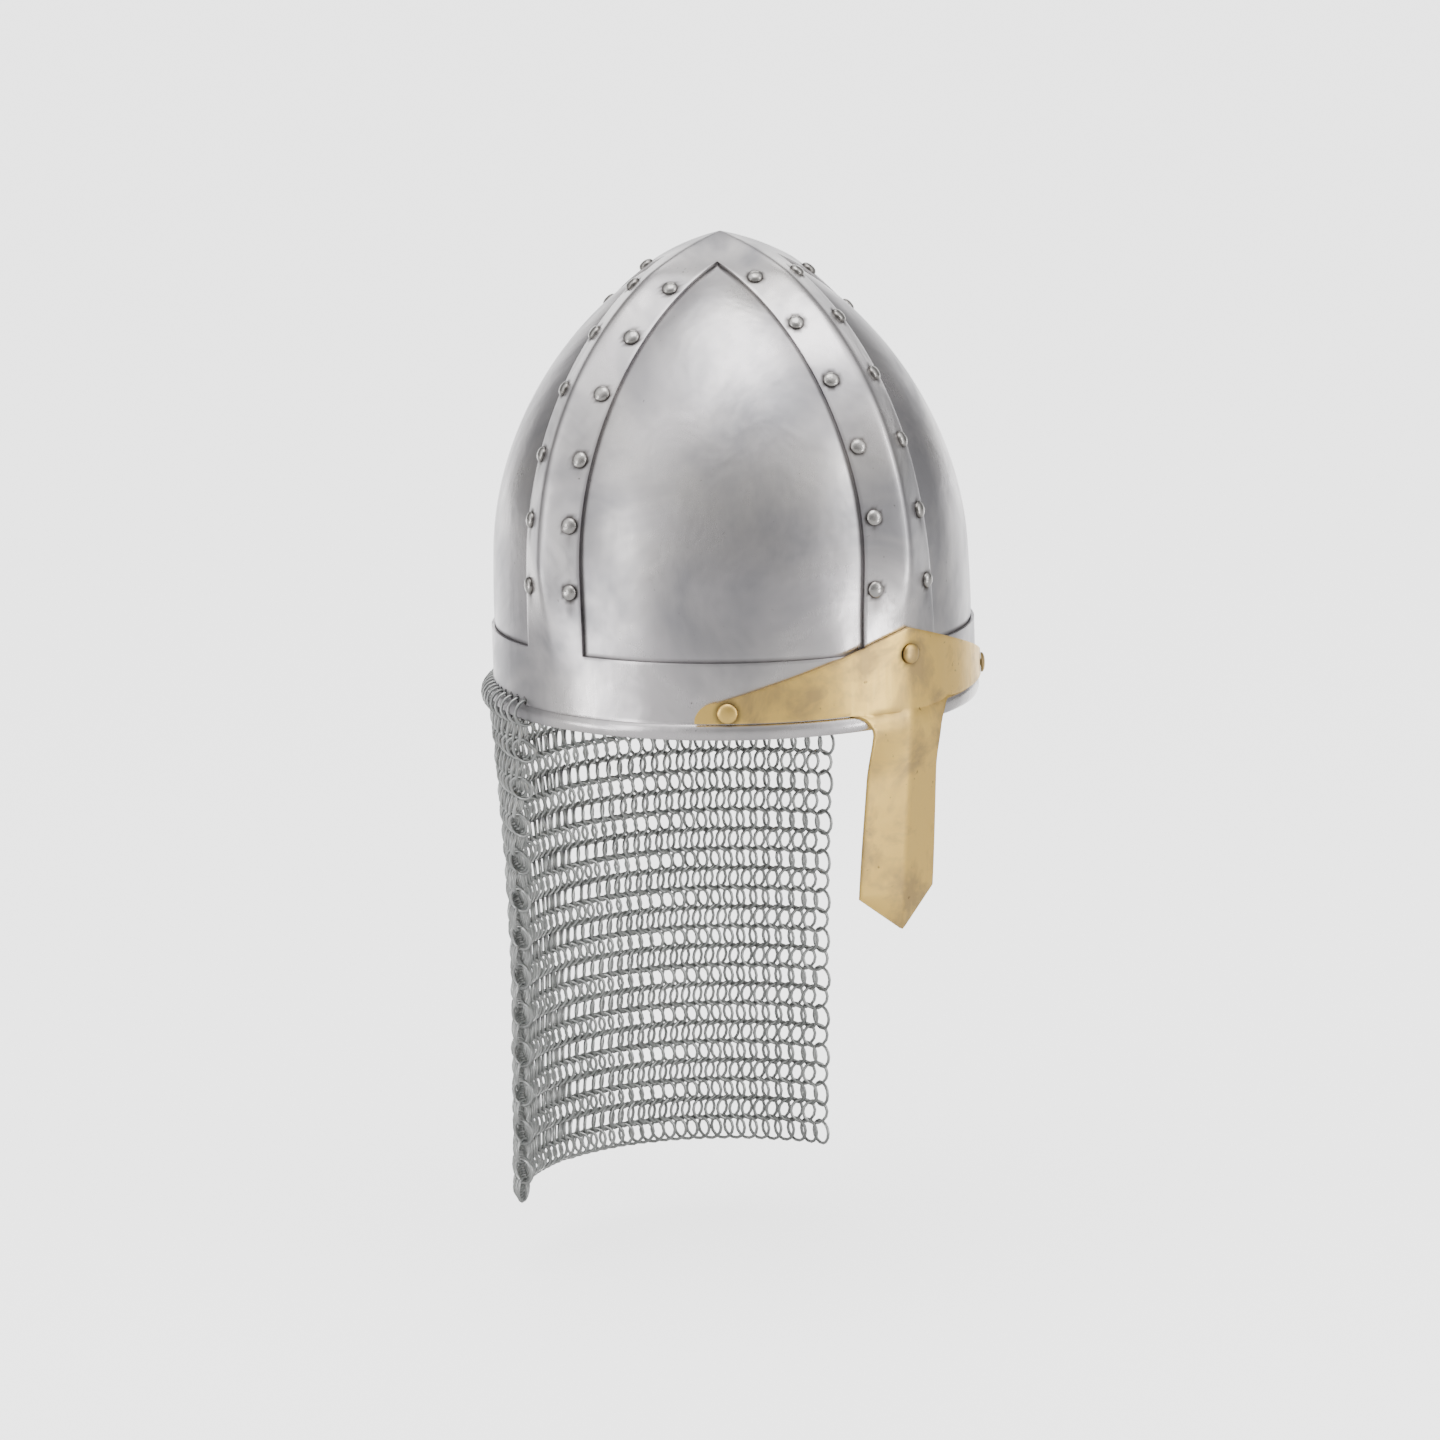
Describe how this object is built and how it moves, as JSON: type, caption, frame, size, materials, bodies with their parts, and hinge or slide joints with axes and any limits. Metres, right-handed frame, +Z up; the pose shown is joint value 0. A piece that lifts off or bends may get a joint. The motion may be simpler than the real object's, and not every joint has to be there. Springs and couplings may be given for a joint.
{
  "type": "spangenhelm helmet",
  "caption": "Pointed steel helmet of riveted plates behind a creased band frame, with a brass nasal guard and a mail curtain over the neck.",
  "frame": {"origin": "middle of the rim's lowest plane, where the helmet sits over a head", "axes": "+Z up to the apex, the face towards -Y, the wearer's left side at +X"},
  "size_m": [0.2222, 0.2381, 0.4441],
  "materials": {
    "steel": "satin polish with cloudy hammer and rubbing marks",
    "rivet_steel": "bright domed heads",
    "brass": "pale satin brass with fine scratches",
    "mail_wire": "dull grey wire"
  },
  "bodies": {
    "root": {"crown_frame": "steel", "plate_front_left": "steel", "plate_back_left": "steel", "plate_back_right": "steel", "plate_front_right": "steel", "rivet_front_a1": "rivet_steel", "rivet_front_a2": "rivet_steel", "rivet_front_a3": "rivet_steel", "rivet_front_a4": "rivet_steel", "rivet_front_a5": "rivet_steel", "rivet_front_a6": "rivet_steel", "rivet_front_b1": "rivet_steel", "rivet_front_b2": "rivet_steel", "rivet_front_b3": "rivet_steel", "rivet_front_b4": "rivet_steel", "rivet_front_b5": "rivet_steel", "rivet_front_b6": "rivet_steel", "rivet_left_a1": "rivet_steel", "rivet_left_a2": "rivet_steel", "rivet_left_a3": "rivet_steel", "rivet_left_a4": "rivet_steel", "rivet_left_a5": "rivet_steel", "rivet_left_a6": "rivet_steel", "rivet_left_b1": "rivet_steel", "rivet_left_b2": "rivet_steel", "rivet_left_b3": "rivet_steel", "rivet_left_b4": "rivet_steel", "rivet_left_b5": "rivet_steel", "rivet_left_b6": "rivet_steel", "rivet_back_a1": "rivet_steel", "rivet_back_a2": "rivet_steel", "rivet_back_a3": "rivet_steel", "rivet_back_a4": "rivet_steel", "rivet_back_a5": "rivet_steel", "rivet_back_a6": "rivet_steel", "rivet_back_b1": "rivet_steel", "rivet_back_b2": "rivet_steel", "rivet_back_b3": "rivet_steel", "rivet_back_b4": "rivet_steel", "rivet_back_b5": "rivet_steel", "rivet_back_b6": "rivet_steel", "rivet_right_a1": "rivet_steel", "rivet_right_a2": "rivet_steel", "rivet_right_a3": "rivet_steel", "rivet_right_a4": "rivet_steel", "rivet_right_a5": "rivet_steel", "rivet_right_a6": "rivet_steel", "rivet_right_b1": "rivet_steel", "rivet_right_b2": "rivet_steel", "rivet_right_b3": "rivet_steel", "rivet_right_b4": "rivet_steel", "rivet_right_b5": "rivet_steel", "rivet_right_b6": "rivet_steel", "nasal_guard": "brass", "brass_rivet_nose": "brass", "brass_rivet_wing_left": "brass", "brass_rivet_wing_right": "brass", "mail_curtain": "mail_wire"}
  },
  "joints": []
}
